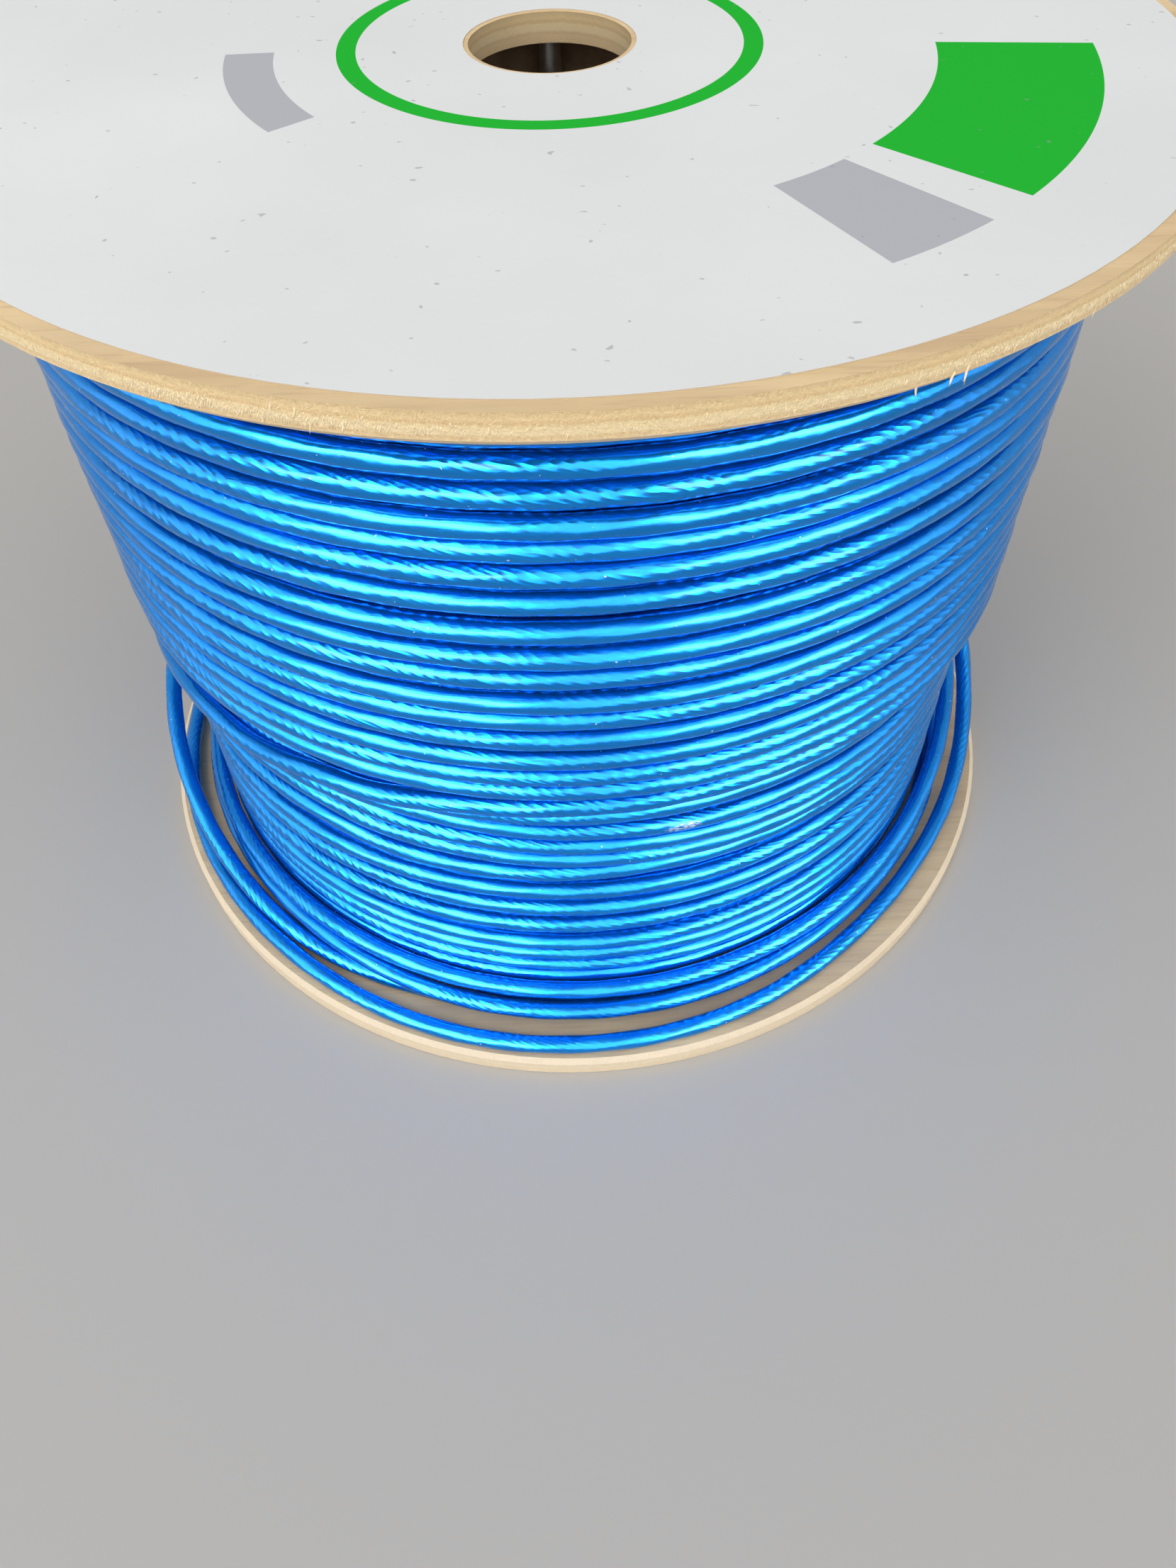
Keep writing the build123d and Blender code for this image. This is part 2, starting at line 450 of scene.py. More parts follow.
def sawn_edge(tree, xyz, at_bottom):
    """Colour and height of a flange's sawn edge: pale, with thin darker lines of glue."""
    angle = maths(tree, "ARCTAN2", xyz.outputs["X"], xyz.outputs["Y"])
    from_outer_face = maths(tree, "PINGPONG", xyz.outputs["Z"], drum_height / 2)
    ply = maths(tree, "DIVIDE", from_outer_face, flange_thickness)

    def edge_noise(per_radian, per_thickness, detail, roughness, scale=1.0):
        """Noise with that many features round the rim and through its thickness."""
        place = node(tree, "CombineXYZ", {
            "X": scaled(tree, angle, per_radian), "Y": scaled(tree, ply, per_thickness),
        }).outputs["Vector"]
        return noise_value(tree, place, scale, detail, roughness)

    fuzz = edge_noise(30.0, 9.0, 6.0, 0.7, scale=3.0)
    tufts = edge_noise(190.0, 3.0, 5.0, 0.65)
    waver = edge_noise(9.0, 0.0, 4.0, 0.6)
    fibre = edge_noise(260.0, 7.0, 4.0, 0.7)
    depth = total(
        tree, ply, spread(tree, waver, 0.2, 0.8, -0.05, 0.05),
        scaled(tree, maths(tree, "SUBTRACT", tufts, 0.5), 0.22),
    )
    edge = ramp(tree, depth, [
        (0.00, (0.72, 0.52, 0.27)),
        (0.20, (0.89, 0.67, 0.35)),
        (0.31, (0.78, 0.54, 0.26)),
        (0.38, (0.92, 0.73, 0.41)),
        (0.58, (0.94, 0.76, 0.45)),
        (0.67, (0.81, 0.59, 0.31)),
        (0.76, (0.87, 0.65, 0.36)),
        (1.00, (0.83, 0.62, 0.34)),
    ])
    edge = mix(tree, spread(tree, fuzz, 0.36, 0.58, 0.5, 0.0), edge, (0.66, 0.46, 0.25))
    edge = mix(tree, spread(tree, tufts, 0.55, 0.75, 0.0, 0.45), edge, (0.95, 0.81, 0.54))
    # Short dark breaks along one glue line
    from_glue = maths(tree, "ABSOLUTE", maths(tree, "SUBTRACT", depth, 0.66))
    breaks = maths(
        tree, "MULTIPLY", spread(tree, fuzz, 0.60, 0.66, 0.0, 0.8),
        spread(tree, from_glue, 0.02, 0.05, 1.0, 0.0),
    )
    edge = mix(tree, breaks, edge, (0.30, 0.17, 0.08))
    # The bottom flange's edge is drawn paler and less saturated than the top one's
    paler_edge = mix(tree, 0.75, edge, (0.86, 0.72, 0.53))
    height = total(tree, fibre, scaled(tree, tufts, 0.8))
    return mix(tree, at_bottom, edge, paler_edge), height


def plywood_material():
    """Bare plywood: sanded face veneer, and a rough sawn edge that shows its plies."""
    material, tree, shader = new_material("plywood")
    place = node(tree, "NewGeometry").outputs["Position"]
    normal = node(tree, "NewGeometry").outputs["Normal"]
    xyz = node(tree, "SeparateXYZ", {"Vector": place})
    up = maths(tree, "ABSOLUTE", node(tree, "SeparateXYZ", {"Vector": normal}).outputs["Z"])
    on_face = maths(tree, "GREATER_THAN", up, 0.9)
    on_edge = maths(tree, "SUBTRACT", 1.0, on_face)
    at_bottom = maths(tree, "LESS_THAN", xyz.outputs["Z"], drum_height / 2)
    face, face_height = veneer_face(tree, place, at_bottom)
    edge, edge_height = sawn_edge(tree, xyz, at_bottom)
    tree.links.new(mix(tree, on_face, edge, face), shader.inputs["Base Color"])
    shader.inputs["Roughness"].default_value = 0.72
    height = total(
        tree, maths(tree, "MULTIPLY", edge_height, on_edge),
        maths(tree, "MULTIPLY", face_height, on_face),
    )
    bump(tree, shader, height, 0.8, 0.0012)
    return material


def label_material():
    """Smooth white paper with plain green and grey ring sectors."""
    material, tree, shader = new_material("printed_label")
    place = node(tree, "NewGeometry").outputs["Position"]
    xyz = node(tree, "SeparateXYZ", {"Vector": place})
    shade = noise_value(tree, place, 9.0, 4.0)
    colour = ramp(tree, shade, [(0.3, (0.66, 0.665, 0.65)), (0.7, (0.71, 0.715, 0.70))])
    reach = maths(tree, "SQRT", total(
        tree, maths(tree, "POWER", xyz.outputs["X"], 2.0),
        maths(tree, "POWER", xyz.outputs["Y"], 2.0),
    ))
    angle = maths(tree, "ARCTAN2", xyz.outputs["X"], xyz.outputs["Y"])

    def sector(inner, outer, first, last):
        """1 inside a ring sector, given by its radii and its angles from the back."""
        inside = maths(tree, "GREATER_THAN", reach, inner)
        for value, operation, limit in (
            (reach, "LESS_THAN", outer),
            (angle, "GREATER_THAN", math.radians(first)),
            (angle, "LESS_THAN", math.radians(last)),
        ):
            inside = maths(tree, "MULTIPLY", inside, maths(tree, operation, value, limit))
        return inside

    green = (0.02, 0.42, 0.035)
    pale_grey = (0.42, 0.42, 0.44)
    for inner, outer, first, last, ink in (
        (0.060, 0.066, -180, 180, green),
        (0.118, 0.165, 96, 134, green),
        (0.118, 0.165, 140, 152, pale_grey),
        (0.118, 0.165, -62, 4, green),
        (0.118, 0.165, 10, 34, pale_grey),
        (0.085, 0.100, -128, -92, pale_grey),
    ):
        colour = mix(tree, sector(inner, outer, first, last), colour, ink)
    specks = spread(tree, noise_value(tree, place, 430.0, 0.0), 0.84, 0.88, 0.0, 0.5)
    colour = mix(tree, specks, colour, (0.25, 0.25, 0.26))
    # The paper's cut edge, where it faces sideways, is drawn darker and browner
    normal = node(tree, "SeparateXYZ", {"Vector": node(tree, "NewGeometry").outputs["Normal"]})
    cut_edge = maths(tree, "LESS_THAN", normal.outputs["Z"], 0.5)
    colour = mix(tree, cut_edge, colour, (0.50, 0.42, 0.30))
    tree.links.new(colour, shader.inputs["Base Color"])
    shader.inputs["Roughness"].default_value = 0.45
    shader.inputs["Specular IOR Level"].default_value = 0.0
    paper_height = noise_value(tree, place, 420.0, 3.0)
    bump(tree, shader, paper_height, 0.12, 0.0004)
    return material


def cardboard_material():
    """Spiral-wound cardboard tube."""
    material, tree, shader = new_material("wound_cardboard")
    place = node(tree, "NewGeometry").outputs["Position"]
    xyz = node(tree, "SeparateXYZ", {"Vector": place})
    angle = maths(tree, "ARCTAN2", xyz.outputs["X"], xyz.outputs["Y"])
    turn = maths(tree, "DIVIDE", angle, math.tau)
    strips_per_metre = 11.0
    strip = total(tree, scaled(tree, xyz.outputs["Z"], strips_per_metre), turn)
    seam = spread(tree, maths(tree, "FRACT", strip), 0.0, 0.02, 1.0, 0.0)
    fibre = noise_value(tree, place, 160.0, 5.0, 0.6)
    board = ramp(tree, fibre, [(0.3, (0.30, 0.20, 0.115)), (0.7, (0.42, 0.30, 0.185))])
    colour = mix(tree, seam, board, (0.16, 0.10, 0.055))
    tree.links.new(colour, shader.inputs["Base Color"])
    shader.inputs["Roughness"].default_value = 0.85
    height = maths(tree, "SUBTRACT", scaled(tree, fibre, 0.4), seam)
    bump(tree, shader, height, 0.5, 0.0006)
    return material


def fibre_material():
    """Pale torn wood fibres."""
    material, tree, shader = new_material("wood_fibre")
    place = node(tree, "NewGeometry").outputs["Position"]
    shade = noise_value(tree, place, 900.0, 3.0)
    colour = ramp(tree, shade, [(0.3, (0.80, 0.61, 0.36)), (0.7, (0.95, 0.82, 0.57))])
    tree.links.new(colour, shader.inputs["Base Color"])
    shader.inputs["Roughness"].default_value = 0.8
    bump(tree, shader, shade, 0.3, 0.0002)
    return material


def core_material(name, dark, light, metallic, roughness):
    """A wrapped or bare conductor at the cable's cut end, faintly mottled."""
    material, tree, shader = new_material(name)
    place = node(tree, "NewGeometry").outputs["Position"]
    mottle = noise_value(tree, place, 2400.0, 3.0)
    tree.links.new(ramp(tree, mottle, [(0.3, dark), (0.7, light)]), shader.inputs["Base Color"])
    shader.inputs["Metallic"].default_value = metallic
    shader.inputs["Roughness"].default_value = roughness
    bump(tree, shader, mottle, 0.4, 0.00015)
    return material


def zinc_material():
    """Dull zinc plating with faint blotches."""
    material, tree, shader = new_material("zinc_plating")
    place = node(tree, "NewGeometry").outputs["Position"]
    blotch = noise_value(tree, place, 180.0, 4.0, 0.6)
    colour = ramp(tree, blotch, [(0.3, (0.42, 0.42, 0.40)), (0.7, (0.62, 0.62, 0.60))])
    tree.links.new(colour, shader.inputs["Base Color"])
    tree.links.new(spread(tree, blotch, 0.3, 0.7, 0.32, 0.5), shader.inputs["Roughness"])
    shader.inputs["Metallic"].default_value = 1.0
    return material


def smooth_step(value):
    """0 up to 0 and 1 from 1 on, with a smooth rise between them."""
    value = min(max(value, 0.0), 1.0)
    return value * value * (3 - 2 * value)


def through(knots, place):
    """The height at a place along smoothly joined (place, height) knots."""
    for (start, low), (end, high) in zip(knots, knots[1:]):
        if place <= end:
            return low + (high - low) * smooth_step((place - start) / (end - start))
    return knots[-1][1]


# A turn crosses to the next one's place behind the drum, over this stretch of a turn
crossing_start = 0.30
crossing_length = 0.40
# The full layer's crossings in front take over from that in this much of a turn before them
takeover_length = 0.20
# A layer starts behind the drum, this many turns from the front. Over the rise it comes up from
# the layer below, and over the exit the last layer's end goes over into the loose cable.
layer_start = -0.45
rise_length = 0.12
exit_length = 0.20
# How far turns wander up and down and in and out, and how often they do in a turn
height_wobble = 0.0005
radius_wobble = 0.0007
height_waves = 5.0
radius_waves = 4.0
# Sets the wander in and out apart from that up and down
out_seed = 5.5
# Where all of it is read from the noise on its third axis
noise_level = 0.37
# How much the turns that hardly show wander, as a share of that
hidden_unevenness = 0.6
# Hidden turns start this much of a turn before the front and end as far past it
hidden_overrun = 0.40

# Rings of a tube: corners of each one, and share of a turn between two, where it shows and
# where it is hidden. The loose cable's rings are a distance apart.
tube_sides = 16
hidden_tube_sides = 10
fine_step = 1 / 330
coarse_step = 1 / 120
loose_step = 0.003
# Seeds of the layers' wander: of the two that show, and of the turns under each one
last_layer_seed = 3.1
full_layer_seed = 8.4
hidden_seeds = (12.2, 17.7)
# Where each layer's UVs start along the cable, so that no two layers have the same creases
full_layer_along = 100.0
hidden_along = (444.0, 554.0)

# Ridges on the winding's hidden inner ring: how far their bottoms lie inside its radius, how
# high they are, points on each one, and the ring's sides
ridge_bottom = 0.002
ridge_height = 0.0025
ridge_points = 4
core_sides = 96
# Distance in its UVs from one point of its profile to the next
core_uv_step = 0.002


def layer_height(turns, steps):
    """Height of a layer that passes the front at turns[0], turns[1], ... as steps grows by 1."""
    number = math.floor(steps - crossing_start)
    part = (steps - crossing_start - number) / crossing_length
    before = turns[min(max(number, 0), len(turns) - 1)]
    after = turns[min(max(number + 1, 0), len(turns) - 1)]
    return before + (after - before) * smooth_step(part)


def wobble(steps, seed, size, waves):
    """A smooth, small, uneven offset along a layer."""
    return size * noise.noise(Vector((steps * waves, seed, noise_level)))


def round_point(steps, radius, height):
    """A point at that many turns clockwise from the front."""
    angle = math.tau * steps
    return (-radius * math.sin(angle), -radius * math.cos(angle), height)


def tube(path, start=0.0, sides=tube_sides):
    """Points, faces, UVs and end of a closed tube along a path that goes round the drum.

    The seam is on the side that faces the drum's axis. The UVs are the distance along the
    cable, from the start on, and round it, in metres."""
    path = np.asarray(path)
    count = len(path)
    runs = np.linalg.norm(np.diff(path, axis=0), axis=1)
    along = start + np.concatenate([[0.0], np.cumsum(runs)])
    forward = np.gradient(path, axis=0)
    forward /= np.linalg.norm(forward, axis=1)[:, None]
    outward = path * (1, 1, 0)
    outward /= np.linalg.norm(outward, axis=1)[:, None]
    side = np.cross(forward, outward)
    side /= np.linalg.norm(side, axis=1)[:, None]
    outward = np.cross(side, forward)
    turn = np.linspace(0.0, math.tau, sides, endpoint=False)
    twist = turn[None, :] - math.tau * along[:, None] / twist_length
    radius = cable_radius - lobe_height + lobe_height * np.cos(lobe_count * twist)
    points = (
        path[:, None, :]
        - outward[:, None, :] * (radius * np.cos(turn))[:, :, None]
        + side[:, None, :] * (radius * np.sin(turn))[:, :, None]
    ).reshape(-1, 3)
    faces = []
    uvs = []
    girth = math.tau * cable_radius
    for ring in range(count - 1):
        low, high = along[ring], along[ring + 1]
        for place in range(sides):
            after = (place + 1) % sides
            faces.append((
                ring * sides + place, (ring + 1) * sides + place,
                (ring + 1) * sides + after, ring * sides + after,
            ))
            left, right = girth * place / sides, girth * (place + 1) / sides
            uvs += [(low, left), (high, left), (high, right), (low, right)]
    first = tuple(range(sides))
    last = tuple((count - 1) * sides + place for place in reversed(range(sides)))
    for cap in (first, last):
        faces.append(cap)
        uvs += [(along[0], 0.0)] * sides
    return points, faces, uvs, along[-1]


def gathered(shapes):
    """Points and faces of several shapes as one."""
    points, faces = [], []
    for shape_points, shape_faces in shapes:
        first = len(points)
        points += list(shape_points)
        faces += [tuple(first + corner for corner in face) for face in shape_faces]
    return points, faces


def joined(name, tubes):
    """One mesh piece of several tubes."""
    points, faces = gathered((made[0], made[1]) for made in tubes)
    uvs = [uv for made in tubes for uv in made[2]]
    return mesh_object(name, points, faces, uvs)


def layer_path(height_at, first, last, radius, seed, step, unevenness=1.0, exit_radius=None):
    """The middle of the cable from `first` to `last` turns round, at a layer's radius.

    With an exit radius, the end is even and goes over to that radius."""
    count = int(round((last - first) / step)) + 1
    path = []
    for number in range(count):
        steps = first + (last - first) * number / (count - 1)
        steady = smooth_step((last - steps) / exit_length) if exit_radius else 1.0
        rise = under_layer_step * (1 - smooth_step((steps - first) / rise_length))
        aside = steady * unevenness * wobble(steps, seed, height_wobble, height_waves)
        out = radius + unevenness * wobble(steps, seed + out_seed, radius_wobble, radius_waves)
        if exit_radius:
            out = out * steady + exit_radius * (1 - steady)
        path.append(round_point(steps, out - rise, height_at(steps) + aside))
    return path


def last_layer_height(steps):
    """The last layer goes down; its last turn sinks and leaves to become the loose cable."""
    last = len(last_layer_turns)
    (takeover, _), (takeover_end, _) = crossing_turn[:2]
    (exit_start, exit_height), (end_place, end_height) = crossing_turn[-2:]
    if steps < last + takeover_end:
        level = layer_height(last_layer_turns + [through(crossing_turn, 0.0)], steps)
        part = smooth_step((steps - last - takeover) / (takeover_end - takeover))
        return level + (through(crossing_turn, steps - last) - level) * part
    if steps > last + exit_start:
        part = (steps - last - exit_start) / (end_place - exit_start)
        return exit_height + (end_height - exit_height) * part * part
    return through(crossing_turn, steps - last)


def full_layer_height(steps):
    """The full layer goes up from the bottom flange, to where its turns cross in front."""
    takeover = full_layer_crossings[0][0] - takeover_length
    level = layer_height(full_layer_turns, steps)
    part = smooth_step((steps - takeover) / takeover_length)
    return through(full_layer_crossings, steps) * part + level * (1 - part)


def between(turns):
    """Heights halfway between each two turns, where the turns of the layer below lie."""
    return [(one + other) / 2 for one, other in zip(turns, turns[1:])]


def loose_cable_spline():
    """The loose cable's smooth line, a NURBS spline with the route's corners."""
    corners = []
    stations = [(-0.5, cable_exit)]
    stations += list(enumerate(route_corners))
    stations += [(len(route_corners) - 0.5, cable_end)]
    for steps, (stand_out, height) in stations:
        angle = math.radians(first_corner_angle - steps * route_step)
        radius = full_layer_radius + stand_out * millimetre
        # The line touches the middles of the runs between corners, which lie further out
        if steps == int(steps):
            radius /= math.cos(math.radians(route_step / 2))
        corners.append((
            radius * math.sin(angle), -radius * math.cos(angle),
            flange_thickness + height * millimetre,
        ))
    curve = bpy.data.curves.new("loose_cable_line", "CURVE")
    curve.dimensions = "3D"
    spline = curve.splines.new("NURBS")
    spline.points.add(len(corners) - 1)
    for point, corner in zip(spline.points, corners):
        point.co = (*corner, 1.0)
    spline.order_u = 3
    spline.use_endpoint_u = True
    spline.resolution_u = line_resolution
    holder = link_object("loose_cable_line", curve)
    bpy.context.view_layer.update()
    line = bpy.data.meshes.new_from_object(
        holder.evaluated_get(bpy.context.evaluated_depsgraph_get())
    )
    points = np.array([tuple(vertex.co) for vertex in line.vertices])
    bpy.data.objects.remove(holder)
    return points


def evenly(points, step):
    """The same line with points a step apart."""
    runs = np.linalg.norm(np.diff(points, axis=0), axis=1)
    apart = np.concatenate([[True], runs > same_point])
    points = points[apart]
    runs = np.linalg.norm(np.diff(points, axis=0), axis=1)
    along = np.concatenate([[0.0], np.cumsum(runs)])
    places = np.linspace(0.0, along[-1], int(round(along[-1] / step)) + 1)
    return np.stack([np.interp(places, along, points[:, axis]) for axis in range(3)], axis=1)


def make_winding(sheath):
    """The wound cable: the last layer, the full layer below it, and what shows between them.

    Gives the last layer's length, where the loose cable goes on."""
    last_radius = last_layer_radius - cable_radius
    full_radius = full_layer_radius - cable_radius
    under_radius = full_radius - under_layer_step
    exit_radius = full_layer_radius + cable_exit[0] * millimetre
    last_turn = len(last_layer_turns) + crossing_turn[-1][0]
    last_path = layer_path(
        last_layer_height, layer_start, last_turn, last_radius, last_layer_seed, fine_step,
        exit_radius=exit_radius,
    )
    last_tube = tube(last_path)
    last_layer = joined("cable_last_layer", [last_tube])
    full_path = layer_path(
        full_layer_height, layer_start, full_layer_crossings[-1][0], full_radius,
        full_layer_seed, fine_step,
    )
    full_layer = joined("cable_full_layer", [tube(full_path, full_layer_along)])

    # Turns under those two, seen only as dark ridges in the gaps
    shown_crossings = [through(full_layer_crossings, turn) for turn in shown_crossing_turns]
    behind_last = between(last_layer_turns)
    behind_full = lowest_hidden_turns + between(full_layer_turns + shown_crossings)
    hidden = []
    for turns, radius, seed, along in zip(
        (behind_last, behind_full), (full_radius, under_radius), hidden_seeds, hidden_along
    ):
        path = layer_path(
            partial(layer_height, turns), -hidden_overrun, len(turns) - 1 + hidden_overrun,
            radius, seed, coarse_step, hidden_unevenness,
        )
        hidden.append(tube(path, along, hidden_tube_sides))
    under_layers = joined("cable_under_layers", hidden)
    core = make_core(under_radius)
    for piece in (last_layer, full_layer, under_layers, core):
        piece.data.materials.append(sheath)
        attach(piece, "root")
        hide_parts("cable_winding")
    return last_tube[3]


def make_core(radius):
    """The winding's inner turns as one plain ring, with its turns as ridges on the outside."""
    bottom, top = winding_low[2], winding_high[2]
    ridge_count = int((top - bottom) / cable_diameter)
    steps = ridge_count * ridge_points
    profile = [(winding_bore_radius, bottom), (winding_bore_radius, top)]
    for number in range(steps + 1):
        height = top + (bottom - top) * number / steps
        swell = abs(math.sin(math.pi * number / ridge_points))
        profile.append((radius - ridge_bottom + ridge_height * swell, height))
    points = [
        (out * math.sin(turn), -out * math.cos(turn), height)
        for turn in (math.tau * place / core_sides for place in range(core_sides))
        for out, height in profile
    ]
    length = len(profile)
    faces = []
    uvs = []
    for place in range(core_sides):
        after = (place + 1) % core_sides
        low, high = place / core_sides, (place + 1) / core_sides
        for step in range(length):
            follow = (step + 1) % length
            faces.append((
                place * length + step, after * length + step,
                after * length + follow, place * length + follow,
            ))
            near, far = step * core_uv_step, follow * core_uv_step
            uvs += [(low, near), (high, near), (high, far), (low, far)]
    return mesh_object("cable_inner_turns", points, faces, uvs)


def make_loose_cable(sheath, wound_length):
    """The loose cable, from where it leaves the last layer to its cut end."""
    path = evenly(loose_cable_spline(), loose_step)
    piece = joined("loose_cable_tube", [tube(path, wound_length)])
    piece.data.materials.append(sheath)
    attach(piece, "root")
    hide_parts("loose_cable")
    make_cut_end(path)


def rim_radius(height):
    """How far the rim stands out at a height, with the bevel on each flange's inner edge."""
    to_inner_face = min(abs(height - top_low[2]), abs(height - flange_high[2]))
    return flange_radius - max(0.0, edge_bevel - to_inner_face)


def splinter(angle, height, length, lean, width):
    """Points and faces of a splinter that hangs from the rim and lifts off it to a point."""
    outward = Vector((math.sin(angle), -math.cos(angle), 0))
    right = Vector((math.cos(angle), math.sin(angle), 0))
    down = Vector((0, 0, -1)) * math.cos(lean) + right * math.sin(lean)
    side = down.cross(outward).normalized()
    root = outward * (rim_radius(height) - width * root_depth) + Vector((0, 0, height))
    points = []
    for ring in range(splinter_rings):
        part = ring / splinter_rings
        middle = root + down * length * part + outward * length * splinter_lift * part * part
        half = width / 2 * (1 - part) ** splinter_bluntness
        points += [
            middle + side * half, middle + outward * half * splinter_flatness,
            middle - side * half, middle - outward * half * splinter_flatness,
        ]
    tip = len(points)
    points.append(root + down * length + outward * length * splinter_lift)
    corners = tip // splinter_rings
    faces = [tuple(range(corners))]
    for first in range(0, tip, corners):
        for place in range(corners):
            here, after = first + place, first + (place + 1) % corners
            if first + corners < tip:
                faces.append((here, here + corners, after + corners, after))
            else:
                faces.append((here, tip, after))
    return points, faces


def torn_fibre(chance, low_height, number):
    """What splinter() needs for one torn fibre of the flange that starts at that height."""
    on_top = low_height > 0
    angle = chance.uniform(-180, 180)
    if on_top and number % 2 == 0:
        angle = chance.choice([chance.gauss(*place) for place in torn_places])
    least, most = fibre_place_limits
    share = min(max(chance.gauss(*fibre_place), least), most)
    height = low_height + flange_thickness * (share if on_top else 1 - share)
    length = chance.uniform(*fibre_length_limits)
    lean = math.radians(chance.gauss(*fibre_lean))
    return math.radians(angle), height, length, lean, chance.uniform(*fibre_width_limits)


def make_splinters(fibre):
    """Splinters and torn fibres on both rims, most of them where the saw tore the top one."""
    chance = random.Random(fibre_seed)
    blades = [
        (math.radians(angle), height * millimetre, length * millimetre, math.radians(lean),
         width * millimetre)
        for angle, height, length, lean, width in rim_splinters
    ]
    for low_height, count in ((top_low[2], top_fibre_count), (0.0, bottom_fibre_count)):
        blades += [torn_fibre(chance, low_height, number) for number in range(count)]
    piece = mesh_object("rim_fibres", *gathered(splinter(*blade) for blade in blades))
    piece.data.materials.append(fibre)
    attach(piece, "root")


def rod(start, direction, radius, length):
    """Points and faces of a short closed rod."""
    side = direction.orthogonal().normalized()
    other = direction.cross(side)
    points = [
        start + direction * along + (side * math.cos(turn) + other * math.sin(turn)) * radius
        for along in (0.0, length)
        for turn in (math.tau * place / rod_sides for place in range(rod_sides))
    ]
    faces = []
    for place in range(rod_sides):
        after = (place + 1) % rod_sides
        faces.append((place, after, rod_sides + after, rod_sides + place))
    faces += [tuple(reversed(range(rod_sides))), tuple(range(rod_sides, 2 * rod_sides))]
    return points, faces


def make_cut_end(path):
    """What shows at the loose cable's cut end: four foil-wrapped pairs with copper cores."""
    end = Vector(path[-1])
    ahead = (end - Vector(path[-2])).normalized()
    side = ahead.orthogonal().normalized()
    other = ahead.cross(side)
    wrap = core_material("pair_foil", (0.55, 0.56, 0.58), (0.80, 0.81, 0.83), 1.0, 0.3)
    copper = core_material("copper_core", (0.62, 0.28, 0.15), (0.80, 0.42, 0.26), 1.0, 0.35)
    made = []
    for name, material, radius, stands_out, offsets in (
        ("cut_end_pairs", wrap, pair_radius, pair_stands_out, [0.0]),
        ("cut_end_cores", copper, core_radius, core_stands_out, [-core_offset, core_offset]),
    ):
        rods = []
        for quarter in range(pair_count):
            turn = math.tau * (quarter + 0.5) / pair_count
            outward = side * math.cos(turn) + other * math.sin(turn)
            across = side * math.sin(turn) - other * math.cos(turn)
            middle = end + outward * pair_offset
            for offset in offsets:
                start = middle + across * offset - ahead * reach_back
                rods.append(rod(start, ahead, radius, stands_out + reach_back))
        piece = mesh_object(name, *gathered(rods))
        piece.data.shade_flat()
        piece.data.materials.append(material)
        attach(piece, "root")
        made.append(piece)
    return made


def dress(node_name, material):
    """Gives a CAD node its material."""
    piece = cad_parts[node_name]
    piece.data.materials.clear()
    piece.data.materials.append(material)


# The photo's camera, fitted to the two rims of the drum. Its turns are in degrees.
camera_place = (0, -0.40395, 0.44370)
camera_lens = 26.382
camera_heading = -0.7527
camera_looks_down = 51.240
camera_roll = -1.6386

# A soft square light from the upper left in front
key_place = (-0.9, -1.1, 1.5)
key_target = (0, 0, 0.16)
key_size = 0.7
key_power = 7

# The floor lies this far under the drum, and reaches this far each way
floor_gap = 0.0003
floor_reach = 6.0

# Azimuth from the front of the bright sky's middle, and how far to each side of it the sky
# is fully bright and fades out, in degrees
sky_middle = -5
sky_full_width = 66
sky_fade_width = 106
# Sines of the elevations between which the bright sky goes over to the dim one above it
sky_top_start = 0.80
sky_top_end = 0.95
# How bright the sky is low in front of the drum and above that, as gloss sees it, all round as
# gloss and the camera see it, and in front and behind as it lights the rest
bright_sky = 3.0
dim_sky = 0.70
pale_sky = 0.58
front_light = 1.50
back_light = 0.50
# Two windows that show only in gloss: azimuth from the front and half width in degrees, the
# sine of the elevation of their lower and upper edges, how soft their sides, lower and upper
# edges are, and how bright they are
window_places = [(-37, 22), (42, 20)]
window_low = 0.16
window_high = 0.60
window_side_blur = 0.06
window_low_blur = 0.05
window_high_blur = 0.06
window_light = 12.0


def add_camera():
    """The camera, at the photo's place."""
    data = bpy.data.cameras.new("camera")
    data.sensor_width = 36
    data.lens = camera_lens
    data.clip_start = 0.01
    camera = link_object("camera", data)
    turned = (
        Matrix.Rotation(math.radians(camera_heading), 4, "Z")
        @ Matrix.Rotation(math.radians(90 - camera_looks_down), 4, "X")
        @ Matrix.Rotation(math.radians(camera_roll), 4, "Z")
    )
    camera.matrix_world = Matrix.Translation(camera_place) @ turned
    bpy.context.scene.camera = camera


def add_key_light():
    """The soft light, turned to its target."""
    data = bpy.data.lights.new("key", "AREA")
    data.shape = "RECTANGLE"
    data.size = key_size
    data.size_y = key_size
    data.energy = key_power
    light = link_object("key", data)
    light.visible_camera = False
    light.location = key_place
    light.rotation_mode = "QUATERNION"
    direction = Vector(key_target) - Vector(key_place)
    light.rotation_quaternion = direction.to_track_quat("-Z", "Y")


def add_floor():
    """A plain pale floor that keeps the drum's shadow."""
    material, _, shader = new_material("pale_floor")
    shader.inputs["Base Color"].default_value = (0.42, 0.40, 0.37, 1)
    shader.inputs["Roughness"].default_value = 0.9
    corners = [
        (across * floor_reach, along * floor_reach, -floor_gap)
        for across, along in ((-1, -1), (1, -1), (1, 1), (-1, 1))
    ]
    floor = mesh_object("floor", corners, [(0, 1, 2, 3)])
    floor.data.materials.append(material)


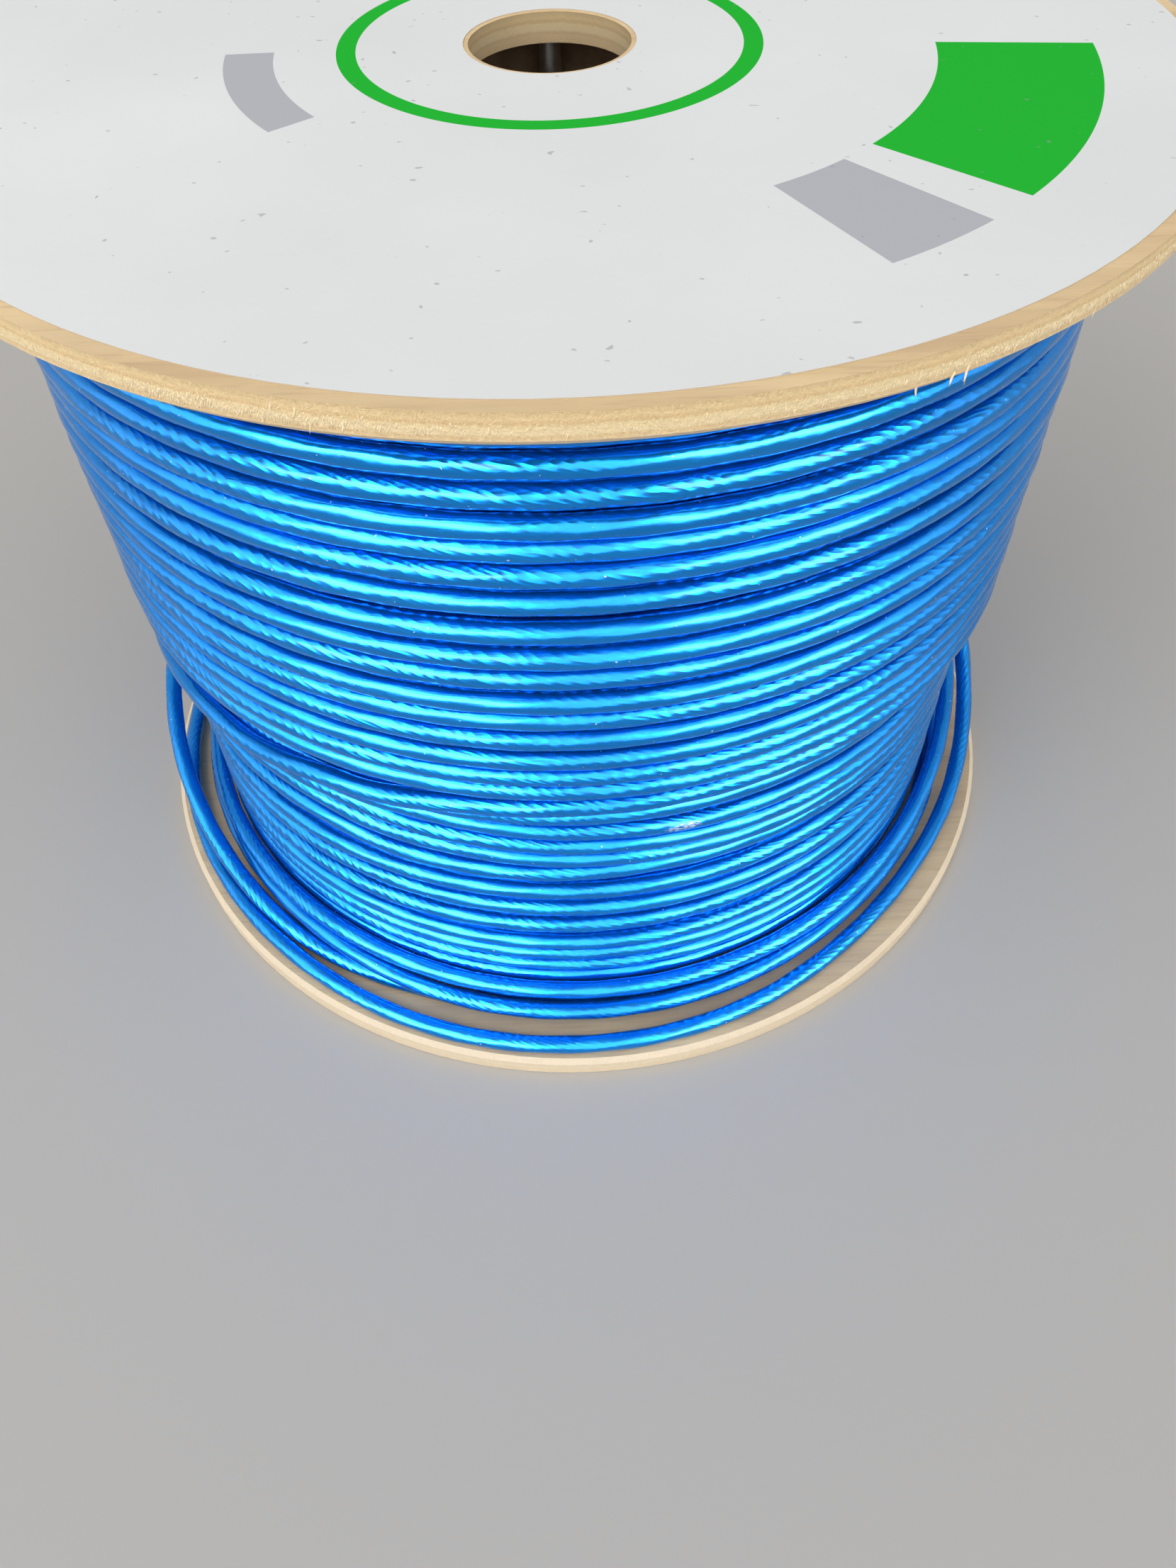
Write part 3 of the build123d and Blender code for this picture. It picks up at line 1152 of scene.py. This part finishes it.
def window(tree, azimuth, height, centre, half_width):
    """How bright a window is in a direction, given by its azimuth and its elevation's sine."""
    aside = maths(tree, "ABSOLUTE", maths(tree, "SUBTRACT", azimuth, math.radians(centre)))
    half = math.radians(half_width)
    across = spread(tree, aside, half, half + window_side_blur, 1.0, 0.0)
    above = spread(tree, height, window_low, window_low + window_low_blur, 0.0, 1.0)
    below = spread(tree, height, window_high, window_high + window_high_blur, 1.0, 0.0)
    pane = maths(tree, "MULTIPLY", across, maths(tree, "MULTIPLY", above, below))
    return scaled(tree, pane, window_light)


def add_world():
    """A plain sky that lights the drum, and that the camera and glass see pale.

    Gloss sees it pale too, but bright in front, dimmer high up there, and with two windows."""
    world = bpy.data.worlds.new("studio")
    bpy.context.scene.world = world
    world.use_nodes = True
    tree = world.node_tree
    direction = node(tree, "TexCoord").outputs["Generated"]
    xyz = node(tree, "SeparateXYZ", {"Vector": direction})
    height = xyz.outputs["Z"]
    azimuth = maths(tree, "ARCTAN2", xyz.outputs["X"], scaled(tree, xyz.outputs["Y"], -1.0))
    from_middle = maths(tree, "SUBTRACT", azimuth, math.radians(sky_middle))
    in_front = spread(
        tree, maths(tree, "ABSOLUTE", from_middle), math.radians(sky_full_width),
        math.radians(sky_fade_width), 1.0, 0.0,
    )
    low_enough = spread(tree, height, sky_top_start, sky_top_end, 1.0, 0.0)
    front_gloss = spread(tree, low_enough, 0.0, 1.0, dim_sky, bright_sky)
    in_gloss = float_mix(tree, in_front, pale_sky, front_gloss)
    for centre, half_width in window_places:
        in_gloss = total(tree, in_gloss, window(tree, azimuth, height, centre, half_width))
    as_light = spread(tree, in_front, 0.0, 1.0, back_light, front_light)
    path = node(tree, "LightPath")
    strength = float_mix(tree, path.outputs["Is Glossy Ray"], as_light, in_gloss)
    seen = maths(
        tree, "MAXIMUM", path.outputs["Is Camera Ray"], path.outputs["Is Transmission Ray"]
    )
    strength = float_mix(tree, seen, strength, pale_sky)
    background = tree.nodes["Background"]
    background.inputs["Color"].default_value = (0.97, 0.98, 1.0, 1)
    tree.links.new(strength, background.inputs["Strength"])


bpy.context.scene.view_settings.view_transform = "Standard"

sheath = cable_sheath_material()
plywood = plywood_material()
wound_length = make_winding(sheath)
make_loose_cable(sheath, wound_length)
for flange in ("bottom_flange", "top_flange"):
    dress(flange, plywood)
dress("flange_label", label_material())
make_splinters(fibre_material())
dress("barrel", cardboard_material())
zinc = zinc_material()
for number in (1, 2, 3):
    dress(f"tie_bolt_{number}", zinc)
    dress(f"tie_nut_{number}", zinc)

add_camera()
add_floor()
add_key_light()
add_world()
